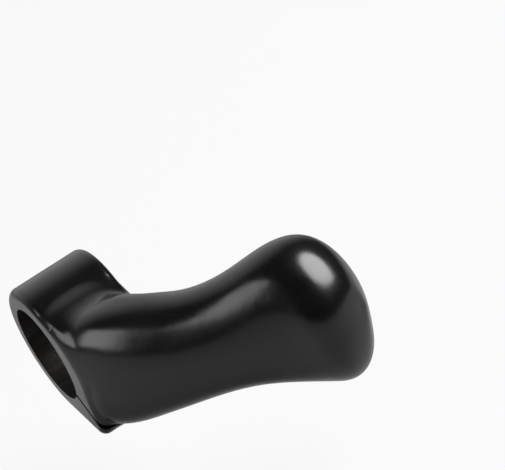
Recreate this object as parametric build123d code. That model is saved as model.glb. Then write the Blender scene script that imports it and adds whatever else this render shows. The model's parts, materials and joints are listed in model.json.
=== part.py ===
from build123d import *
import math
import os
from collections import namedtuple

# A stubby bar end for the right-hand end of a bicycle handlebar.
# Frame: the origin is on the handlebar's axis at the middle of the clamp, +Y runs inboard along the
# bar, +X points forward and +Z up. Lengths are in millimetres.

# Clamp ring
BAR_D = 22.2
RING_WALL = 4.3
RING_WIDTH = 18.6
RING_EDGE = 1.8
EAR_X = BAR_D / 2 - 0.2
EAR_Z = -(BAR_D / 2 + 2.9)
EAR_R = 3.8

# How far the horn's root stands in from each face of the ring
ROOT_INSET = 0.5

# Slit through the ring, seen along the bar: degrees from straight forward
SLIT_ANGLE = -46.0
SLIT_GAP = 1.2

# Clamp screw, ISO 4762 M5 x 16, with a small washer under its head
SCREW_D = 5.0
SCREW_LENGTH = 16.0
SCREW_HEAD_D = 8.5
SCREW_HEAD_H = 5.0
HEX_ACROSS = 4.0
HEX_DEPTH = 2.5
WASHER_D = 9.0
WASHER_T = 1.0
WASHER_BORE = 5.3
SCREW_OFFSET = BAR_D / 2 + 4.5
SCREW_SEAT = 4.6
CLEARANCE_D = 5.5
THREAD_PLAY = 0.04
THREAD_HOLE_DEPTH = 12.5
POCKET_PLAY = 0.5
POCKET_REACH = 12.0

# One vertical section of the horn. x, y and z place its middle, heading is the way the horn runs there,
# in degrees inboard from straight forward, and the four half sizes reach outboard, inboard, up and down.
# lean tips the lower half outboard, in millimetres for each one down.
RING_R = BAR_D / 2 + RING_WALL
ROOT_HALF = RING_WIDTH / 2 - ROOT_INSET
Section = namedtuple("Section", "x y z heading outboard inboard up down lean squareness")
HORN = [
    Section(RING_R - 11.4, 0.0, -1.0, 0.0, ROOT_HALF, ROOT_HALF - 1.3, RING_R - 2.4, RING_R, 0.0, 3.2),
    Section(RING_R - 2.9, -0.8, -1.6, 6.0, ROOT_HALF + 0.3, ROOT_HALF - 0.6, RING_R - 2.8, RING_R - 0.4, 0.0, 2.9),
    Section(21.0, 3.0, -1.8, 26.0, 9.4, 8.6, 13.8, 13.4, 0.0, 2.7),
    Section(30.5, 12.0, -1.4, 40.0, 9.8, 6.4, 12.4, 11.6, 0.0, 2.5),
    Section(40.5, 23.0, -0.8, 41.0, 10.2, 7.6, 14.1, 11.9, 0.0, 2.3),
    Section(51.0, 34.0, -0.4, 35.0, 11.0, 10.6, 16.0, 15.2, 0.0, 2.3),
    Section(55.0, 36.4, -0.4, 32.0, 10.4, 8.2, 12.8, 14.2, 0.08, 2.2),
    Section(58.0, 37.8, -0.2, 31.0, 8.2, 4.8, 8.6, 10.8, 0.16, 2.1),
    Section(59.6, 38.4, 0.0, 31.0, 4.8, 2.6, 5.0, 6.2, 0.2, 2.0),
]
HORN_TIP = (60.1, 38.4, 0.2)
SECTION_POINTS = 12
JUNCTION_R = 3.0


def slit_plane():
    angle = math.radians(SLIT_ANGLE)
    return Vector(math.cos(angle), 0, math.sin(angle))


def screw_axis():
    """Points out of the clamp at the screw's head."""
    angle = math.radians(SLIT_ANGLE)
    return Vector(math.sin(angle), 0, -math.cos(angle))


def screw_plane(out):
    """A plane square to the screw, this far out from the slit towards the screw's head."""
    return Plane(slit_plane() * SCREW_OFFSET + screw_axis() * out, z_dir=screw_axis())


def section_wire(s):
    heading = math.radians(s.heading)
    side = Vector(math.sin(heading), -math.cos(heading), 0)
    points = []
    for i in range(SECTION_POINTS):
        angle = 2 * math.pi * i / SECTION_POINTS
        c = math.cos(angle)
        n = math.sin(angle)
        across = math.copysign(abs(c) ** (2 / s.squareness), c) * (s.outboard if c > 0 else s.inboard)
        along = math.copysign(abs(n) ** (2 / s.squareness), n) * (s.up if n > 0 else s.down)
        across += s.lean * max(0.0, -along)
        points.append(Vector(s.x, s.y, s.z) + side * across + Vector(0, 0, along))
    return Wire(Edge.make_spline(points, periodic=True))


def horn_solid():
    wires = [section_wire(s) for s in HORN]
    return Solid.make_loft(wires + [Vertex(*HORN_TIP)])


def ring_solid():
    with BuildSketch(Plane.XZ) as profile:
        Circle(RING_R)
        with Locations((EAR_X, EAR_Z)):
            Circle(EAR_R)
        make_hull()
    ring = extrude(profile.sketch, RING_WIDTH / 2, both=True)
    return fillet(ring.edges().filter_by_position(Axis.Y, -RING_WIDTH, -RING_WIDTH / 2 + 0.01)
                  + ring.edges().filter_by_position(Axis.Y, RING_WIDTH / 2 - 0.01, RING_WIDTH), RING_EDGE)


def bore_tool():
    return Cylinder(BAR_D / 2, 3 * RING_WIDTH, rotation=(90, 0, 0))


def slit_tool():
    reach = 30.0
    middle = slit_plane() * (reach / 2)
    plane = Plane(middle, x_dir=slit_plane(), z_dir=Vector(0, 1, 0))
    return plane * Box(reach, SLIT_GAP, RING_WIDTH + 2)


def screw_holes():
    clearance = screw_plane(0) * Cylinder(
        CLEARANCE_D / 2, SCREW_SEAT + 1, align=(Align.CENTER, Align.CENTER, Align.MIN))
    pocket = screw_plane(SCREW_SEAT) * Cylinder(
        (max(WASHER_D, SCREW_HEAD_D) + POCKET_PLAY) / 2, POCKET_REACH, align=(Align.CENTER, Align.CENTER, Align.MIN))
    thread = screw_plane(-THREAD_HOLE_DEPTH) * Cylinder(
        (SCREW_D + THREAD_PLAY) / 2, THREAD_HOLE_DEPTH, align=(Align.CENTER, Align.CENTER, Align.MIN))
    return clearance + pocket + thread


def blended_body():
    """The ring and the horn as one casting, with the corner between them filled."""
    ring = ring_solid()
    horn = horn_solid()
    body = ring + horn
    corner = new_edges(ring, horn, combined=body).filter_by_position(Axis.X, 3, 25)
    return body.fillet(JUNCTION_R, corner)


def horn_body():
    return blended_body() - bore_tool() - slit_tool() - screw_holes()


def bolt_washer():
    disc = Cylinder(WASHER_D / 2, WASHER_T, align=(Align.CENTER, Align.CENTER, Align.MIN))
    disc -= Cylinder(WASHER_BORE / 2, 3 * WASHER_T)
    return screw_plane(SCREW_SEAT) * disc


def clamp_bolt():
    shank = Cylinder(SCREW_D / 2, SCREW_LENGTH, align=(Align.CENTER, Align.CENTER, Align.MAX))
    head = Cylinder(SCREW_HEAD_D / 2, SCREW_HEAD_H, align=(Align.CENTER, Align.CENTER, Align.MIN))
    head = chamfer(head.edges().sort_by(Axis.Z)[-1], 0.4)
    socket = extrude(Plane.XY.offset(SCREW_HEAD_H) * RegularPolygon(HEX_ACROSS / 2, 6, major_radius=False),
                     -HEX_DEPTH)
    screw = head + shank - socket
    screw = chamfer(screw.edges().filter_by(GeomType.CIRCLE).sort_by(Axis.Z)[0], 0.6)
    return screw_plane(SCREW_SEAT + WASHER_T) * screw


def main():
    os.makedirs("parts", exist_ok=True)
    export_step(horn_body(), "parts/horn_body.step")
    export_step(clamp_bolt(), "parts/clamp_bolt.step")
    export_step(bolt_washer(), "parts/bolt_washer.step")


if __name__ == "__main__":
    main()
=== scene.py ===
import json
import math
import bmesh
import bpy
import numpy as np
from mathutils import Matrix, Quaternion, Vector
from mathutils.bvhtree import BVHTree
from mathutils.geometry import barycentric_transform

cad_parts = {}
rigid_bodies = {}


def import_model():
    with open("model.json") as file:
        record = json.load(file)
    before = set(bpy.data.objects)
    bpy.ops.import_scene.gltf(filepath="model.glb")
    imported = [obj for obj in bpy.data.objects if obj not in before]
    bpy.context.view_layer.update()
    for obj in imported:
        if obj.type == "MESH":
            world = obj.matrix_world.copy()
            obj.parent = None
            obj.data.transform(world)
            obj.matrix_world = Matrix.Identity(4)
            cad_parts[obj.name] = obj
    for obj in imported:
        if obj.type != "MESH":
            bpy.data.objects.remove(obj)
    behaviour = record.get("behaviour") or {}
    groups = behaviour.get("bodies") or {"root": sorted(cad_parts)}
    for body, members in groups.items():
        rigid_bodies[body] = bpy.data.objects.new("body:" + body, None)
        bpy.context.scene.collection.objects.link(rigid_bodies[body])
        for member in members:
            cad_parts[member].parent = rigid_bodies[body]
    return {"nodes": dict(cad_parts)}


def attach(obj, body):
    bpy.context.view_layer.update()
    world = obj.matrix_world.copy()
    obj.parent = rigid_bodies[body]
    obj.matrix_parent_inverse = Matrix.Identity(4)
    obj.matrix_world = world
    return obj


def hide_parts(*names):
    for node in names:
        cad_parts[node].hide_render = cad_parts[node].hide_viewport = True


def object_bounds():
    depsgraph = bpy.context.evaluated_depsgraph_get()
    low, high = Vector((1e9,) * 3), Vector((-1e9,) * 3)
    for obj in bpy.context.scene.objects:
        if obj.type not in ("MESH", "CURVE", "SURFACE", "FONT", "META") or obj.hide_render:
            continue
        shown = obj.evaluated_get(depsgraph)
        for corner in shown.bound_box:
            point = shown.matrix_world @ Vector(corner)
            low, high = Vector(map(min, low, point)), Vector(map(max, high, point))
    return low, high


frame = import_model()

lo_cad, hi_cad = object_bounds()

scene = bpy.context.scene

# The model is given in millimetres, and the scene is in metres.
MM = 0.001

# Clamp ring, with the middle of its ear in X and Z
BAR_D = 22.2
RING_R = 15.4
RING_HALF = 9.3
RING_EDGE = 1.8
EAR = (10.9, -14.0)
EAR_R = 3.8

# Slit, as degrees from straight forward, and the clamp screw through it
SLIT_ANGLE = -46.0
SLIT_GAP = 1.2
SCREW_OFFSET = 15.6
SCREW_PITCH = 0.8
KNURL_COUNT = 36.0
SHANK_R = 2.5
HEAD_R = 4.25
SEAT = 4.6
CLEARANCE_R = 2.75
POCKET_R = 4.75
POCKET_REACH = 12.0
THREAD_HOLE_R = 2.52
THREAD_HOLE_DEPTH = 12.5

# The corner between ring and horn is filled to the top size above, the bottom size below. The two
# ranges say between which heights, and how far forward, the one passes into the other.
BLEND_TOP = 5.5
BLEND_BOTTOM = 1.5
BLEND_RISE = (-9.0, 0.0)
BLEND_REACH = (4.0, 12.0)

# Between these two places forward, the horn's root passes into the surface of the plain solid.
ROOT_TO_CAST = (22.0, 28.0)

# The casting's mesh: its grain, the passes that draw it onto the form, the angle from which an edge
# is sharp, and how near and how parallel to the form a face lies to take its smooth normal
VOXEL = 0.42
PASSES = 5
SHARP_ANGLE = 35
NEAR_FORM = 0.02
ALONG_FORM = 0.8
CUT_REACH = 30.0

# How much of its own white the floor shows to the camera, from none to all
FLOOR_GLOW = 0.9
FLOOR_HALF = 3.0
FLOOR_DROP = 0.012

# x, y, z, heading, outboard, inboard, up, down, squareness of each section of the horn
HORN = [
    (4.0, 0.0, -1.0, 0.0, 8.8, 7.5, 12.0, 15.4, 3.2),
    (12.5, -0.8, -1.6, 6.0, 9.1, 8.2, 12.6, 15.0, 2.9),
    (21.0, 3.0, -1.8, 26.0, 9.4, 8.6, 13.8, 13.4, 2.7),
    (30.5, 12.0, -1.4, 40.0, 9.8, 6.4, 12.4, 11.6, 2.5),
    (40.5, 23.0, -0.8, 41.0, 10.2, 7.6, 14.1, 11.9, 2.3),
    (51.0, 34.0, -0.4, 35.0, 11.0, 10.6, 16.0, 15.2, 2.3),
    (55.0, 36.4, -0.4, 32.0, 10.4, 8.2, 12.8, 14.2, 2.2),
    (58.0, 37.8, -0.2, 31.0, 8.2, 4.8, 8.6, 10.8, 2.1),
    (59.6, 38.4, 0.0, 31.0, 4.8, 2.6, 5.0, 6.2, 2.0),
]


class Shader:
    """A material's node tree, with short calls for the nodes that it uses."""

    def __init__(self, name):
        self.material = bpy.data.materials.new(name)
        self.material.use_nodes = True
        self.nodes = self.material.node_tree.nodes
        self.links = self.material.node_tree.links
        self.bsdf = self.nodes["Principled BSDF"]
        self.place = self.nodes.new("ShaderNodeTexCoord").outputs["Object"]

    def feed(self, socket, value):
        if isinstance(value, bpy.types.NodeSocket):
            self.links.new(value, socket)
        else:
            socket.default_value = value

    def math(self, operation, a, b=0.0, c=0.0):
        node = self.nodes.new("ShaderNodeMath")
        node.operation = operation
        for socket, value in zip(node.inputs, (a, b, c)):
            self.feed(socket, value)
        return node.outputs[0]

    def along(self, direction, origin=(0, 0, 0)):
        """The distance along a direction from a point, in metres."""
        shifted = self.nodes.new("ShaderNodeVectorMath")
        shifted.operation = "SUBTRACT"
        self.feed(shifted.inputs[0], self.place)
        shifted.inputs[1].default_value = origin
        dot = self.nodes.new("ShaderNodeVectorMath")
        dot.operation = "DOT_PRODUCT"
        self.feed(dot.inputs[0], shifted.outputs[0])
        dot.inputs[1].default_value = direction
        return dot.outputs["Value"]

    def stretched(self, scale):
        node = self.nodes.new("ShaderNodeMapping")
        self.feed(node.inputs["Vector"], self.place)
        node.inputs["Scale"].default_value = scale
        return node.outputs[0]

    def noise(self, scale, detail=3.0, rough=0.5, vector=None):
        node = self.nodes.new("ShaderNodeTexNoise")
        self.feed(node.inputs["Vector"], vector or self.place)
        node.inputs["Scale"].default_value = scale
        node.inputs["Detail"].default_value = detail
        node.inputs["Roughness"].default_value = rough
        return node.outputs["Fac"]

    def ramp(self, value, low, high, out_low=0.0, out_high=1.0):
        node = self.nodes.new("ShaderNodeMapRange")
        node.interpolation_type = "SMOOTHSTEP"
        self.feed(node.inputs["Value"], value)
        node.inputs["From Min"].default_value = low
        node.inputs["From Max"].default_value = high
        node.inputs["To Min"].default_value = out_low
        node.inputs["To Max"].default_value = out_high
        return node.outputs[0]

    def mix(self, share, a, b):
        node = self.nodes.new("ShaderNodeMix")
        node.data_type = "RGBA"
        self.feed(node.inputs["Factor"], share)
        self.feed(node.inputs[6], a)
        self.feed(node.inputs[7], b)
        return node.outputs[2]

    def blend(self, share, a, b):
        node = self.nodes.new("ShaderNodeMix")
        self.feed(node.inputs["Factor"], share)
        self.feed(node.inputs[2], a)
        self.feed(node.inputs[3], b)
        return node.outputs[0]

    def bump(self, height, strength, distance, onto=None):
        node = self.nodes.new("ShaderNodeBump")
        node.inputs["Strength"].default_value = strength
        node.inputs["Distance"].default_value = distance
        self.feed(node.inputs["Height"], height)
        if onto is not None:
            self.feed(node.inputs["Normal"], onto)
        return node.outputs[0]

    def finish(self, **sockets):
        for name, value in sockets.items():
            self.feed(self.bsdf.inputs[name.replace("_", " ")], value)
        return self.material


def paint():
    """Gloss black on the casting, and unpainted reamed metal inside the bore, that metal's colour darkened to
    near black as painted shade in the bore.
    """
    s = Shader("black_paint")
    x = s.along((1, 0, 0))
    z = s.along((0, 0, 1))
    radius = s.math("SQRT", s.math("ADD", s.math("MULTIPLY", x, x), s.math("MULTIPLY", z, z)))
    bore = s.ramp(radius, (BAR_D / 2 + 0.12) * MM, (BAR_D / 2 + 0.04) * MM)

    cloud = s.noise(70, 4)
    tone = s.mix(s.ramp(cloud, 0.3, 0.7), (0.0035, 0.0031, 0.0034, 1), (0.0060, 0.0054, 0.0058, 1))
    speck = s.ramp(s.noise(5200, 1, 0.3), 0.74, 0.80)
    tone = s.mix(s.math("MULTIPLY", speck, 0.35), tone, (0.05, 0.047, 0.048, 1))
    gloss = s.math("ADD", s.ramp(s.noise(160, 5, 0.6), 0.3, 0.7, 0.20, 0.26), s.math("MULTIPLY", speck, 0.2))

    streak = s.noise(260, 5, 0.65, s.stretched((1.0, 0.12, 1.0)))
    patch = s.noise(130, 4, 0.6)
    # Painted shade: the reamed metal in the bore gets a near-black colour for the shade and dark reflections
    # inside the bore; its streaks and random darker patches are real machining marks.
    bare_metal_painted_shade = s.mix(s.ramp(streak, 0.32, 0.68), (0.018, 0.016, 0.015, 1), (0.10, 0.09, 0.085, 1))
    bare_metal_painted_shade = s.mix(s.ramp(patch, 0.5, 0.72, 0.0, 0.55), bare_metal_painted_shade, (0.022, 0.019, 0.017, 1))
    dull = s.ramp(streak, 0.3, 0.7, 0.52, 0.34)

    peel = s.bump(s.noise(420, 2, 0.4), 0.05, 0.00012)
    marks = s.math("MULTIPLY", s.math("ADD", streak, s.noise(2400, 2)), bore)
    normal = s.bump(marks, 0.35, 0.00012, peel)
    return s.finish(
        Base_Color=s.mix(bore, tone, bare_metal_painted_shade),
        Metallic=s.math("MULTIPLY", bore, 0.9),
        Roughness=s.blend(bore, gloss, dull),
        Normal=normal,
    )


def screw_directions():
    angle = math.radians(SLIT_ANGLE)
    slit = Vector((math.cos(angle), 0, math.sin(angle)))
    out = Vector((math.sin(angle), 0, -math.cos(angle)))
    return slit, out, slit * SCREW_OFFSET * MM


def steel(name, threaded):
    """Zinc-plated steel. The screw has its thread and the knurl round its head as fine relief, with painted
    shade darkening the thread's grooves.
    """
    s = Shader(name)
    slit, out, centre = screw_directions()
    t = s.along(out, centre)
    u = s.along(slit, centre)
    v = s.along((0, 1, 0), centre)
    stain = s.noise(600, 4, 0.6)
    tone = s.mix(s.ramp(stain, 0.35, 0.7), (0.36, 0.36, 0.37, 1), (0.52, 0.52, 0.54, 1))
    rough = s.ramp(s.noise(1500, 3), 0.3, 0.7, 0.26, 0.42)
    normal = s.bump(s.noise(3000, 2), 0.12, 0.00005)
    if threaded:
        turn = s.math("ARCTAN2", v, u)
        radius = s.math("SQRT", s.math("ADD", s.math("MULTIPLY", u, u), s.math("MULTIPLY", v, v)))
        pitch = s.math("DIVIDE", t, SCREW_PITCH * MM / (2 * math.pi))
        thread = s.math("SINE", s.math("ADD", pitch, turn))
        shank = s.ramp(radius, (SHANK_R + 0.15) * MM, (SHANK_R + 0.05) * MM)
        rim = s.ramp(radius, (HEAD_R - 0.15) * MM, (HEAD_R - 0.05) * MM)
        grooves = s.math("MULTIPLY", s.math("SINE", s.math("MULTIPLY", turn, KNURL_COUNT)), rim)
        normal = s.bump(s.math("MULTIPLY", thread, shank), 0.8, 0.0002, normal)
        normal = s.bump(grooves, 0.6, 0.00012, normal)
        # Painted shade: the colour darkens in the thread's grooves on the shank.
        tone = s.mix(s.math("MULTIPLY", shank, s.ramp(thread, 0.2, -0.8)), tone, (0.12, 0.12, 0.125, 1))
    return s.finish(Base_Color=tone, Metallic=1.0, Roughness=rough, Normal=normal)


def new_mesh(name, points, faces):
    mesh = bpy.data.meshes.new(name)
    mesh.from_pydata([tuple(p) for p in points], [], faces)
    mesh.update()
    return mesh


def spline_rows(rows, steps):
    """Rows between the given ones, by a natural cubic through each column."""
    y = np.array(rows, float)
    n = len(y)
    a = np.eye(n)
    b = np.zeros_like(y)
    for i in range(1, n - 1):
        a[i, i - 1:i + 2] = (1, 4, 1)
        b[i] = 6 * (y[i - 1] - 2 * y[i] + y[i + 1])
    m = np.linalg.solve(a, b)
    out = []
    for t in np.linspace(0, n - 1, steps):
        i = min(int(t), n - 2)
        u = t - i
        v = 1 - u
        out.append(v * y[i] + u * y[i + 1] + ((v ** 3 - v) * m[i] + (u ** 3 - u) * m[i + 1]) / 6)
    return np.array(out)


def horn_mesh():
    """The horn by itself, as a fine closed loft that starts inside the ring."""
    around = 120
    turn = np.linspace(0, 2 * np.pi, around, endpoint=False)
    c, n = np.cos(turn), np.sin(turn)
    rings = []
    for x, y, z, heading, outboard, inboard, up, down, square in spline_rows(HORN, 160):
        power = 2 / square
        across = np.sign(c) * np.abs(c) ** power * np.where(c > 0, outboard, inboard)
        height = np.sign(n) * np.abs(n) ** power * np.where(n > 0, up, down)
        h = math.radians(heading)
        rings.append(np.stack([x + across * math.sin(h), y - across * math.cos(h), z + height], axis=1))
    points = np.concatenate(rings)
    faces = []
    for i in range(len(rings) - 1):
        for j in range(around):
            k = (j + 1) % around
            faces.append((i * around + j, (i + 1) * around + j, (i + 1) * around + k, i * around + k))
    faces.append(tuple(range(around)))
    faces.append(tuple(reversed(range(len(points) - around, len(points)))))
    return new_mesh("horn_loft", points, faces)


def surface_of(mesh, scale):
    """A call that gives the signed distance to a mesh and its smoothed normal, for many points."""
    mesh.calc_loop_triangles()
    points = [v.co * scale for v in mesh.vertices]
    triangles = [tuple(t.vertices) for t in mesh.loop_triangles]
    loops = [tuple(t.loops) for t in mesh.loop_triangles]
    normals = [Vector(n.vector) for n in mesh.corner_normals]
    tree = BVHTree.FromPolygons(points, triangles)

    def look(where):
        far = np.empty(len(where))
        facing = np.empty((len(where), 3))
        for row, p in enumerate(where):
            p = Vector(p)
            spot, _, index, gap = tree.find_nearest(p)
            corner = [points[v] for v in triangles[index]]
            given = [normals[l] for l in loops[index]]
            n = barycentric_transform(spot, *corner, *given).normalized()
            far[row] = math.copysign(gap, (p - spot).dot(n))
            facing[row] = n
        return far, facing
    return look


def clamp_outline(p):
    """Signed distance and normal of the ring and its ear, as a prism without ends."""
    big, small = RING_R, EAR_R
    away = math.hypot(*EAR)
    ax = np.array([EAR[0], EAR[1]]) / away
    px = np.array([-ax[1], ax[0]])
    q = p[:, [0, 2]]
    h = q @ ax
    side = q @ px
    w = np.abs(side)
    b = (big - small) / away
    a = math.sqrt(1 - b * b)
    k = -b * w + a * h
    near_big = k < 0
    near_small = k > a * away
    d = w * a + h * b - big
    n = np.stack([np.sign(side) * a, np.full(len(p), b)], axis=1)
    r1 = np.maximum(np.hypot(w, h), 1e-9)
    r2 = np.maximum(np.hypot(w, h - away), 1e-9)
    d = np.where(near_big, r1 - big, np.where(near_small, r2 - small, d))
    n[near_big] = np.stack([side, h], axis=1)[near_big] / r1[near_big, None]
    n[near_small] = np.stack([side, h - away], axis=1)[near_small] / r2[near_small, None]
    flat = n[:, :1] * px + n[:, 1:] * ax
    return d, np.stack([flat[:, 0], np.zeros(len(p)), flat[:, 1]], axis=1)


def both(a, na, b, nb, r):
    """What two forms share, with their edge rounded by r."""
    ga, gb = np.maximum(r + a, 0), np.maximum(r + b, 0)
    size = np.maximum(np.hypot(ga, gb), 1e-9)
    d = np.minimum(np.maximum(a, b), -r) + size
    inner = np.where((a > b)[:, None], na, nb)
    round_edge = (ga[:, None] * na + gb[:, None] * nb) / size[:, None]
    n = np.where((np.maximum(a, b) > -r)[:, None], round_edge, inner)
    return d, n


def either(a, na, b, nb, r, slope):
    """Two forms run together, with the corner between them filled to r, which changes along slope."""
    ga, gb = np.maximum(r - a, 0), np.maximum(r - b, 0)
    size = np.maximum(np.hypot(ga, gb), 1e-9)
    d = np.maximum(np.minimum(a, b), r) - size
    n = (ga[:, None] * na + gb[:, None] * nb) / size[:, None]
    n = n + (1 - (ga + gb) / size)[:, None] * slope
    n = np.where((np.minimum(a, b) < r)[:, None], n, np.where((a < b)[:, None], na, nb))
    return d, n


def eased(value, low, high):
    """A smooth step from 0 to 1 between two values, and its slope."""
    t = np.clip((value - low) / (high - low), 0, 1)
    return t * t * (3 - 2 * t), 6 * t * (1 - t) / (high - low)


def casting(root, cast):
    """The outside of the whole casting: a call that gives signed distance and normal."""
    def look(p):
        y = p[:, 1]
        inboard = np.tile((0.0, 1.0, 0.0), (len(p), 1))
        a, na = clamp_outline(p)
        a, na = both(a, na, y - RING_HALF, inboard, RING_EDGE)
        share = eased(p[:, 0], *ROOT_TO_CAST)[0]
        b, nb = np.zeros(len(p)), np.zeros((len(p), 3))
        for weight, surface in ((1 - share, root), (share, cast)):
            used = weight > 0
            bs, ns = surface(p[used])
            b[used] += weight[used] * bs
            nb[used] += weight[used, None] * ns
        rise, rise_slope = eased(p[:, 2], *BLEND_RISE)
        reach, reach_slope = eased(p[:, 0], *BLEND_REACH)
        extra = BLEND_TOP - BLEND_BOTTOM
        r = BLEND_BOTTOM + extra * rise * reach
        slope = np.zeros_like(p)
        slope[:, 0] = extra * rise * reach_slope
        slope[:, 2] = extra * rise_slope * reach
        d, n = either(a, na, b, nb, r, slope)
        d, n = both(d, n, -RING_HALF - y, -inboard, RING_EDGE)
        return d, n / np.maximum(np.linalg.norm(n, axis=1), 1e-9)[:, None]
    return look


def prism_mesh():
    """The ring and its ear, as a plain closed prism."""
    away = math.hypot(*EAR)
    aim = math.atan2(EAR[1], EAR[0])
    part = math.acos((RING_R - EAR_R) / away)
    outline = []
    for t in np.linspace(aim + part, aim - part + 2 * math.pi, 140):
        outline.append((RING_R * math.cos(t), RING_R * math.sin(t)))
    for t in np.linspace(aim - part, aim + part, 30):
        outline.append((EAR[0] + EAR_R * math.cos(t), EAR[1] + EAR_R * math.sin(t)))
    n = len(outline)
    points = [(x, -RING_HALF, z) for x, z in outline] + [(x, RING_HALF, z) for x, z in outline]
    faces = [(i, (i + 1) % n, n + (i + 1) % n, n + i) for i in range(n)]
    faces += [tuple(reversed(range(n))), tuple(range(n, 2 * n))]
    return new_mesh("clamp_prism", points, faces)


def evaluated(piece):
    """The mesh that a piece's modifiers make, as a mesh of its own."""
    graph = bpy.context.evaluated_depsgraph_get()
    graph.update()
    return bpy.data.meshes.new_from_object(piece.evaluated_get(graph))


def placed(name, mesh):
    """A mesh put into the scene as a piece."""
    piece = bpy.data.objects.new(name, mesh)
    scene.collection.objects.link(piece)
    return piece


def cylinder_mesh(name, radius, start, end, axis, around=128):
    """A closed cylinder along an axis that runs through two points."""
    turn = axis.to_track_quat("Z", "Y")
    points = []
    for spot in (start, end):
        for i in range(around):
            t = 2 * math.pi * i / around
            points.append(spot + turn @ Vector((radius * math.cos(t), radius * math.sin(t), 0)))
    faces = [(i, (i + 1) % around, around + (i + 1) % around, around + i) for i in range(around)]
    faces += [tuple(reversed(range(around))), tuple(range(around, 2 * around))]
    return new_mesh(name, points, faces)


def slit_mesh(slit, out):
    """A closed block as wide as the slit, from the bar's axis out through the ear."""
    side = Vector((0, 1, 0))
    points = []
    for along in (0.0, CUT_REACH):
        for across in (-SLIT_GAP / 2, SLIT_GAP / 2):
            for width in (-RING_HALF - 1, RING_HALF + 1):
                points.append(slit * along + out * across + side * width)
    faces = [(0, 1, 3, 2), (4, 6, 7, 5), (0, 4, 5, 1), (2, 3, 7, 6), (0, 2, 6, 4), (1, 5, 7, 3)]
    mesh = new_mesh("slit_cut", points, faces)
    shape = bmesh.new()
    shape.from_mesh(mesh)
    bmesh.ops.recalc_face_normals(shape, faces=shape.faces)
    shape.to_mesh(mesh)
    shape.free()
    return mesh


def cutters():
    """The bore, the slit and the screw's holes, as closed meshes in millimetres."""
    slit, out, centre = screw_directions()
    centre = centre / MM
    y = Vector((0, 1, 0))
    return [
        cylinder_mesh("bore_cut", BAR_D / 2, y * -CUT_REACH, y * CUT_REACH, y),
        slit_mesh(slit, out),
        cylinder_mesh("clearance_cut", CLEARANCE_R, centre, centre + out * (SEAT + 1), out),
        cylinder_mesh("pocket_cut", POCKET_R, centre + out * SEAT, centre + out * (SEAT + POCKET_REACH), out),
        cylinder_mesh("thread_cut", THREAD_HOLE_R, centre - out * THREAD_HOLE_DEPTH, centre, out),
    ]


def cast_horn():
    """The casting with its horn running smoothly out of the ring, in place of the plain solid."""
    loft = horn_mesh()
    loft.shade_smooth()
    shell = bmesh.new()
    shell.from_mesh(loft)
    for v in shell.verts:
        v.co.y = max(v.co.y, -RING_HALF)
    shell.from_mesh(prism_mesh())
    bmesh.ops.recalc_face_normals(shell, faces=shell.faces)
    rough = bpy.data.meshes.new("rough_shell")
    shell.to_mesh(rough)
    shell.free()
    block = placed("rough_shell", rough)
    remesh = block.modifiers.new("skin", "REMESH")
    remesh.mode = "VOXEL"
    remesh.voxel_size = VOXEL
    skin = evaluated(block)

    look = casting(surface_of(loft, 1.0), surface_of(frame["nodes"]["horn_body"].data, 1 / MM))
    points = np.array([v.co[:] for v in skin.vertices])
    for _ in range(PASSES):
        d, n = look(points)
        points = points - d[:, None] * n
    skin.vertices.foreach_set("co", points.ravel())
    skin.update()

    block.modifiers.clear()
    block.data = skin
    for mesh in cutters():
        tool = placed(mesh.name, mesh)
        cut = block.modifiers.new(mesh.name, "BOOLEAN")
        cut.operation = "DIFFERENCE"
        cut.solver = "EXACT"
        cut.object = tool
    mesh = evaluated(block)
    for piece in [p for p in scene.collection.objects if p.name.endswith("_cut") or p is block]:
        bpy.data.objects.remove(piece)
    return mesh, look


def dress(node, material):
    """Put a material on one of the CAD's own objects."""
    piece = frame["nodes"][node]
    piece.data.materials.clear()
    piece.data.materials.append(material)


def dress_casting(material):
    """The smooth casting, painted, riding on the horn's body in place of the plain solid."""
    mesh, look = cast_horn()
    points = np.array([v.co[:] for v in mesh.vertices])
    d, n = look(points)
    mesh.shade_smooth()
    mesh.set_sharp_from_angle(angle=math.radians(SHARP_ANGLE))
    given = []
    for face in mesh.polygons:
        outside = all(
            abs(d[v]) < NEAR_FORM and face.normal.dot(Vector(n[v])) > ALONG_FORM
            for v in face.vertices
        )
        for v in face.vertices:
            given.append(tuple(n[v]) if outside else (0.0, 0.0, 0.0))
    mesh.normals_split_custom_set(given)
    mesh.transform(Matrix.Scale(MM, 4))
    mesh.update()
    mesh.name = "horn_casting"
    mesh.materials.clear()
    mesh.materials.append(material)
    piece = placed("horn_casting", mesh)
    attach(piece, "horn")
    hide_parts("horn_body")


def floor():
    """A white sheet. The camera sees it glow evenly, so that the background comes out white."""
    half = FLOOR_HALF
    z = lo_cad.z - FLOOR_DROP
    corners = [(-half, -half, z), (half, -half, z), (half, half, z), (-half, half, z)]
    mesh = new_mesh("floor", corners, [(0, 1, 2, 3)])
    piece = bpy.data.objects.new("floor", mesh)
    scene.collection.objects.link(piece)
    s = Shader("floor_white")
    grain = s.noise(40, 2)
    material = s.finish(Base_Color=s.mix(grain, (0.50, 0.50, 0.50, 1), (0.52, 0.52, 0.52, 1)), Roughness=0.6)
    glow = s.nodes.new("ShaderNodeEmission")
    glow.inputs["Color"].default_value = (1, 1, 1, 1)
    path = s.nodes.new("ShaderNodeLightPath")
    choose = s.nodes.new("ShaderNodeMixShader")
    s.feed(choose.inputs[0], s.math("MULTIPLY", path.outputs["Is Camera Ray"], FLOOR_GLOW))
    s.feed(choose.inputs[1], s.bsdf.outputs[0])
    s.feed(choose.inputs[2], glow.outputs[0])
    s.feed(s.nodes["Material Output"].inputs["Surface"], choose.outputs[0])
    mesh.materials.append(material)


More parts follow.
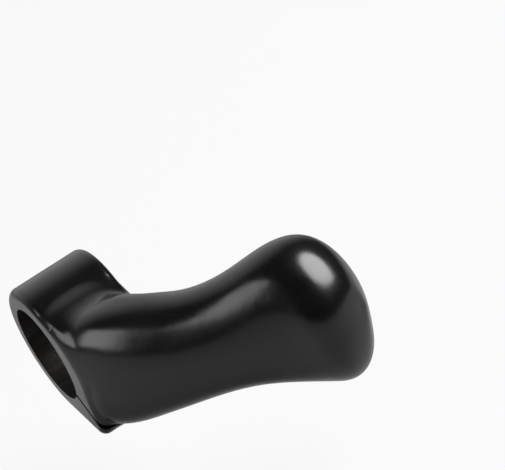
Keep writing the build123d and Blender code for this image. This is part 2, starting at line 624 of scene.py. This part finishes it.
def softbox(name, azimuth, elevation, distance, size, power, shape="RECTANGLE"):
    """A lamp that faces the middle of the object. Azimuth is from +X towards +Y."""
    a = math.radians(azimuth)
    e = math.radians(elevation)
    middle = (lo_cad + hi_cad) / 2
    back = Vector((math.cos(a) * math.cos(e), math.sin(a) * math.cos(e), math.sin(e)))
    lamp = bpy.data.lights.new(name, "AREA")
    lamp.shape = shape
    lamp.size, lamp.size_y = size
    lamp.energy = power
    piece = bpy.data.objects.new(name, lamp)
    piece.location = middle + back * distance
    piece.rotation_mode = "QUATERNION"
    piece.rotation_quaternion = (-back).to_track_quat("-Z", "Y")
    scene.collection.objects.link(piece)


def lights():
    softbox("outboard_box", -97, 24, 0.9, (0.50, 0.56), 2.9)
    softbox("inboard_box", 62, 43, 0.8, (0.70, 0.50), 9.4, "ELLIPSE")


def backdrop():
    """Dim above, pale towards the horizon behind, and white to the camera itself."""
    world = bpy.data.worlds.new("studio")
    scene.world = world
    world.use_nodes = True
    nodes = world.node_tree.nodes
    links = world.node_tree.links
    nodes.clear()
    place = nodes.new("ShaderNodeTexCoord")
    behind = nodes.new("ShaderNodeVectorMath")
    behind.operation = "DOT_PRODUCT"
    behind.inputs[1].default_value = (-0.95, 0.0, 0.3)
    links.new(place.outputs["Generated"], behind.inputs[0])
    shade = nodes.new("ShaderNodeMapRange")
    shade.interpolation_type = "SMOOTHSTEP"
    links.new(behind.outputs["Value"], shade.inputs["Value"])
    shade.inputs["From Min"].default_value = 0.6
    shade.inputs["From Max"].default_value = 0.98
    shade.inputs["To Min"].default_value = 0.03
    shade.inputs["To Max"].default_value = 0.8
    dim = nodes.new("ShaderNodeBackground")
    dim.inputs["Color"].default_value = (1, 0.985, 0.98, 1)
    links.new(shade.outputs[0], dim.inputs["Strength"])
    white = nodes.new("ShaderNodeBackground")
    white.inputs["Color"].default_value = (1, 1, 1, 1)
    path = nodes.new("ShaderNodeLightPath")
    choose = nodes.new("ShaderNodeMixShader")
    links.new(path.outputs["Is Camera Ray"], choose.inputs[0])
    links.new(dim.outputs[0], choose.inputs[1])
    links.new(white.outputs[0], choose.inputs[2])
    out = nodes.new("ShaderNodeOutputWorld")
    links.new(choose.outputs[0], out.inputs[0])


def camera():
    """The photo's view: from the front, outboard and above, with the camera rolled."""
    data = bpy.data.cameras.new("camera")
    data.sensor_width = 36.0
    data.lens = 201.5
    data.clip_end = 20.0
    piece = bpy.data.objects.new("camera", data)
    aim = Vector((11.0, 39.8, 2.6)) * MM
    piece.location = Vector((531.4, -120.3, 254.6)) * MM
    look = (aim - piece.location).to_track_quat("-Z", "Y")
    piece.rotation_mode = "QUATERNION"
    piece.rotation_quaternion = look @ Quaternion((0, 0, 1), math.radians(-25.5))
    scene.collection.objects.link(piece)
    scene.camera = piece


dress_casting(paint())
dress("clamp_bolt", steel("screw_steel", True))
dress("bolt_washer", steel("washer_steel", False))
floor()
lights()
backdrop()
camera()
scene.view_settings.view_transform = "Standard"
